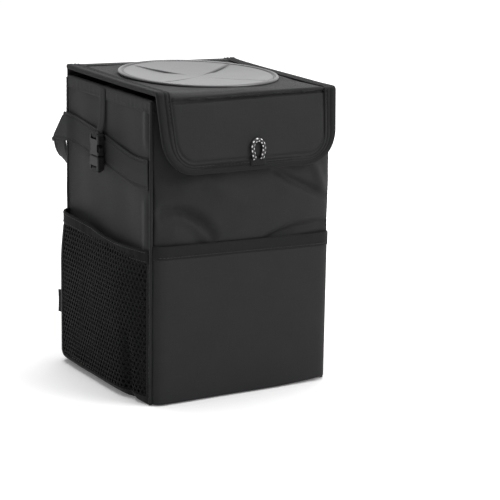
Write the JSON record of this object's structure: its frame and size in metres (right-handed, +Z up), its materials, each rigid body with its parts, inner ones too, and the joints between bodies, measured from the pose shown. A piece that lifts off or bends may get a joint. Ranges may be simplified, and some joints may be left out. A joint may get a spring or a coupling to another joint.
{
  "type": "car litter bin",
  "caption": "Upright soft-sided car litter bin with a hinged lid, slit rubber cover, front flap, flat front pocket, net side pockets, side buckles and a hanging strap.",
  "frame": {"origin": "middle of the flat underside of the base", "axes": "+Z up, the front with the flap and the flat pocket faces -Y, +X to the right seen from the front"},
  "size_m": [0.185, 0.2039, 0.2531],
  "materials": {
    "oxford_cloth": "black plain-weave cloth, slightly rough",
    "stiffener": "dark grey sheet board, matt",
    "liner": "grey waterproof film, satin",
    "binding_tape": "black ribbed tape",
    "net": "black open net",
    "webbing": "black woven webbing",
    "cover_rubber": "dark grey sheet rubber, satin",
    "moulded_plastic": "black moulded plastic, glossy",
    "fastener": "black hook and loop tape",
    "loop_cord": "black cord with pale reflective flecks"
  },
  "bodies": {
    "bin": {"base_panel": "oxford_cloth", "front_panel": "oxford_cloth", "back_panel": "oxford_cloth", "left_panel": "oxford_cloth", "right_panel": "oxford_cloth", "base_board": "stiffener", "front_board": "stiffener", "back_board": "stiffener", "left_board": "stiffener", "right_board": "stiffener", "liner": "liner", "rim_hem": "oxford_cloth", "piping_front_left": "oxford_cloth", "piping_front_right": "oxford_cloth", "piping_back_left": "oxford_cloth", "piping_back_right": "oxford_cloth", "hinge_strip": "oxford_cloth", "loop_patch": "fastener", "front_pocket": "oxford_cloth", "front_pocket_band": "binding_tape", "left_mesh_pocket": "net", "right_mesh_pocket": "net", "left_pocket_band": "binding_tape", "right_pocket_band": "binding_tape", "left_strap": "webbing", "right_strap": "webbing", "strap_buckle_socket": "moulded_plastic", "strap_buckle_plug": "moulded_plastic", "left_buckle_socket": "moulded_plastic", "left_buckle_plug": "moulded_plastic", "right_buckle_socket": "moulded_plastic", "right_buckle_plug": "moulded_plastic", "left_tape_upper": "webbing", "left_tape_lower": "webbing", "right_tape_upper": "webbing", "right_tape_lower": "webbing", "side_tab": "binding_tape"},
    "lid": {"lid_cloth": "oxford_cloth", "lid_board": "stiffener", "lid_lining": "liner", "lid_binding_left": "binding_tape", "lid_binding_right": "binding_tape", "slit_cover": "cover_rubber"},
    "flap": {"flap_cloth": "oxford_cloth", "flap_lining": "oxford_cloth", "flap_binding": "binding_tape", "hook_patch": "fastener", "loop_tack": "binding_tape", "pull_loop": "loop_cord"}
  },
  "joints": [
    {"name": "lid_hinge", "type": "hinge", "parent": "bin", "child": "lid", "pos_m": [0, 0.0764, 0.246], "axis": [-1, 0, 0], "range_deg": [0, 180]},
    {"name": "flap_fold", "type": "hinge", "parent": "lid", "child": "flap", "pos_m": [0, -0.0835, 0.2478], "axis": [-1, 0, 0], "range_deg": [0, 172]}
  ]
}
